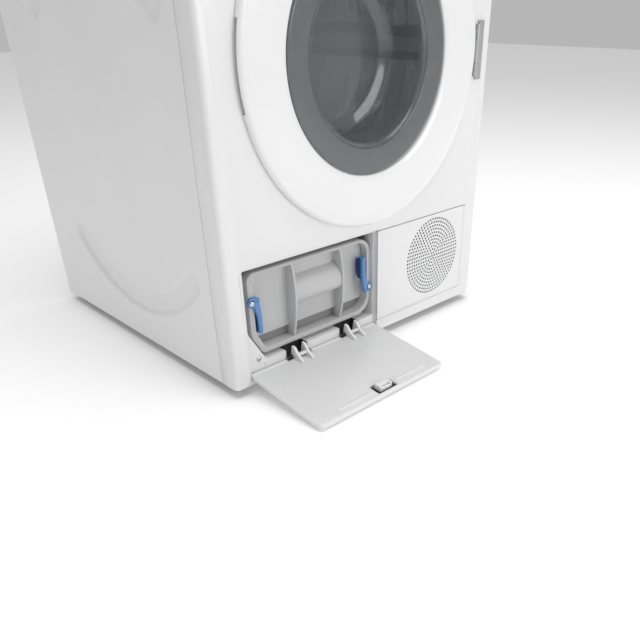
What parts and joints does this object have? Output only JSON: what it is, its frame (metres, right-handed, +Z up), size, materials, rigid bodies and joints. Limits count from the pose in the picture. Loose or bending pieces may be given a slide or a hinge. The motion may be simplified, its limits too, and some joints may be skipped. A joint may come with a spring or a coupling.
{
  "type": "clothes dryer",
  "caption": "White front-loading condenser tumble dryer with its lower left flap folded open, showing the heat exchanger cassette, its cover and two blue locking levers.",
  "frame": {"origin": "on the floor, at the middle of the footprint of the cabinet together with its open flap (the middle of the whole bounding box)", "axes": "+Z up, -Y out of the front where the door and the flap are, +X to the right as seen from the front"},
  "size_m": [0.598, 0.7629, 0.842],
  "materials": {
    "cabinet_paint": "smooth white enamel",
    "white_plastic": "moulded, satin to gloss",
    "door_plastic": "glossy moulded ring",
    "pale_plastic": "fine moulded texture",
    "grey_plastic": "fine moulded texture",
    "black_plastic": "moulded",
    "lever_blue": "moulded, semi-gloss",
    "fan_plastic": "moulded",
    "glass": "clear moulded bowl",
    "drum_steel": "brushed stainless",
    "zinc_steel": "galvanised sheet",
    "bright_steel": "turned, bright",
    "aluminium_core": "folded foil fins",
    "motor_casting": "cast case",
    "rubber": "matt moulded rubber",
    "belt_rubber": "ribbed"
  },
  "bodies": {
    "cabinet": {"side_panel_left": "cabinet_paint", "side_panel_right": "cabinet_paint", "front_panel": "cabinet_paint", "rear_panel": "zinc_steel", "top_panel": "cabinet_paint", "base_tray": "black_plastic", "service_frame": "white_plastic", "grille_panel": "white_plastic", "control_panel": "white_plastic", "exchanger_housing": "grey_plastic", "front_bulkhead": "pale_plastic", "rear_bulkhead": "zinc_steel", "rear_bearing": "bright_steel", "heater": "bright_steel", "fan_housing": "pale_plastic", "motor_body": "motor_casting", "belt": "belt_rubber", "condensate_pump": "black_plastic", "display_window": "black_plastic", "cord_inlet": "black_plastic", "frame_screw": "bright_steel", "door_hinge_bracket": "zinc_steel", "flap_pin_left": "bright_steel", "flap_pin_right": "bright_steel", "door_seal": "rubber"},
    "door": {"door_ring": "door_plastic", "door_inner_ring": "pale_plastic", "door_glass": "glass", "door_hinge_leaf": "zinc_steel"},
    "door_latch": {"door_hook": "bright_steel"},
    "drum": {"drum_shell": "drum_steel", "drum_lifter_1": "pale_plastic", "drum_lifter_2": "pale_plastic", "drum_lifter_3": "pale_plastic", "drum_shaft": "bright_steel"},
    "rotor": {"motor_rotor": "bright_steel", "cooling_fan": "fan_plastic", "process_fan": "fan_plastic"},
    "idler_arm": {"idler_arm": "zinc_steel"},
    "idler_wheel": {"idler_pulley": "black_plastic"},
    "front_roller_left": {"roller_left": "rubber"},
    "front_roller_right": {"roller_right": "rubber"},
    "flap": {"flap_panel": "pale_plastic", "flap_arms_left": "white_plastic", "flap_arms_right": "white_plastic"},
    "flap_catch": {"flap_latch": "white_plastic"},
    "exchanger": {"exchanger_cover": "grey_plastic", "exchanger_core": "aluminium_core", "exchanger_seal": "rubber"},
    "lock_left": {"lever_left": "lever_blue"},
    "lock_right": {"lever_right": "lever_blue"},
    "container": {"condensate_container": "white_plastic"},
    "filter": {"lint_filter": "lever_blue"},
    "knob": {"programme_knob": "pale_plastic"},
    "start_key": {"start_button": "pale_plastic"},
    "option_key": {"option_button": "pale_plastic"},
    "foot_fl": {"foot_front_left": "black_plastic"},
    "foot_fr": {"foot_front_right": "black_plastic"},
    "foot_rl": {"foot_rear_left": "black_plastic"},
    "foot_rr": {"foot_rear_right": "black_plastic"}
  },
  "joints": [
    {"name": "door_hinge", "type": "hinge", "parent": "cabinet", "child": "door", "pos_m": [0.2535, -0.2241, 0.469], "axis": [0, 0, 1], "range_deg": [0, 150]},
    {"name": "door_latch_turn", "type": "hinge", "parent": "door", "child": "door_latch", "pos_m": [-0.1773, -0.1826, 0.469], "axis": [0, 0, -1], "range_deg": [0, 10], "stiffness_Nm_per_rad": 0.2},
    {"name": "flap_hinge", "type": "hinge", "parent": "cabinet", "child": "flap", "pos_m": [0, -0.213, 0.0332], "axis": [-1, 0, 0], "range_deg": [0, 97.2]},
    {"name": "flap_catch_slide", "type": "slide", "parent": "flap", "child": "flap_catch", "axis": [0, 0.9921, 0.1253], "range_m": [0, 0.003], "stiffness_N_per_m": 200},
    {"name": "exchanger_slide", "type": "slide", "parent": "cabinet", "child": "exchanger", "axis": [0, 1, 0], "range_m": [-0.3, 0]},
    {"name": "lock_left_turn", "type": "hinge", "parent": "exchanger", "child": "lock_left", "pos_m": [-0.249, -0.2076, 0.147], "axis": [0, -1, 0], "range_deg": [0, 80]},
    {"name": "lock_right_turn", "type": "hinge", "parent": "exchanger", "child": "lock_right", "pos_m": [0.006, -0.2076, 0.105], "axis": [0, -1, 0], "range_deg": [0, 80]},
    {"name": "container_slide", "type": "slide", "parent": "cabinet", "child": "container", "axis": [0, -1, 0], "range_m": [0, 0.3]},
    {"name": "filter_lift", "type": "slide", "parent": "cabinet", "child": "filter", "axis": [0, 0, 1], "range_m": [0, 0.036]},
    {"name": "knob_turn", "type": "hinge", "parent": "cabinet", "child": "knob", "pos_m": [0.02, -0.2236, 0.774], "axis": [0, -1, 0], "continuous": true},
    {"name": "start_press", "type": "slide", "parent": "cabinet", "child": "start_key", "axis": [0, 1, 0], "range_m": [0, 0.0025], "stiffness_N_per_m": 400},
    {"name": "option_press", "type": "slide", "parent": "cabinet", "child": "option_key", "axis": [0, 1, 0], "range_m": [0, 0.0025], "stiffness_N_per_m": 400},
    {"name": "drum_spin", "type": "hinge", "parent": "cabinet", "child": "drum", "pos_m": [0, 0.0814, 0.476], "axis": [0, 1, 0], "continuous": true},
    {"name": "motor_spin", "type": "hinge", "parent": "cabinet", "child": "rotor", "pos_m": [0.171, 0.0814, 0.1234], "axis": [0, 1, 0], "continuous": true},
    {"name": "idler_arm_swing", "type": "hinge", "parent": "cabinet", "child": "idler_arm", "pos_m": [0.098, 0.2214, 0.07], "axis": [0, -1, 0], "range_deg": [0, 6], "stiffness_Nm_per_rad": 5, "springref_deg": -17.19},
    {"name": "idler_spin", "type": "hinge", "parent": "idler_arm", "child": "idler_wheel", "pos_m": [0.02291, 0.2114, 0.1505], "axis": [0, 1, 0], "continuous": true},
    {"name": "roller_left_spin", "type": "hinge", "parent": "cabinet", "child": "front_roller_left", "pos_m": [-0.16823, -0.1336, 0.23574], "axis": [0, 1, 0], "continuous": true},
    {"name": "roller_right_spin", "type": "hinge", "parent": "cabinet", "child": "front_roller_right", "pos_m": [0.16823, -0.1336, 0.23574], "axis": [0, 1, 0], "continuous": true},
    {"name": "foot_fl_adjust", "type": "slide", "parent": "cabinet", "child": "foot_fl", "axis": [0, 0, -1], "range_m": [0, 0.012]},
    {"name": "foot_fr_adjust", "type": "slide", "parent": "cabinet", "child": "foot_fr", "axis": [0, 0, -1], "range_m": [0, 0.012]},
    {"name": "foot_rl_adjust", "type": "slide", "parent": "cabinet", "child": "foot_rl", "axis": [0, 0, -1], "range_m": [0, 0.012]},
    {"name": "foot_rr_adjust", "type": "slide", "parent": "cabinet", "child": "foot_rr", "axis": [0, 0, -1], "range_m": [0, 0.012]}
  ],
  "couplings": [
    {"joint": "motor_spin", "follows": "drum_spin", "ratio": 24.546},
    {"joint": "idler_spin", "follows": "drum_spin", "ratio": -12.558},
    {"joint": "roller_left_spin", "follows": "drum_spin", "ratio": -10.72},
    {"joint": "roller_right_spin", "follows": "drum_spin", "ratio": -10.72}
  ]
}
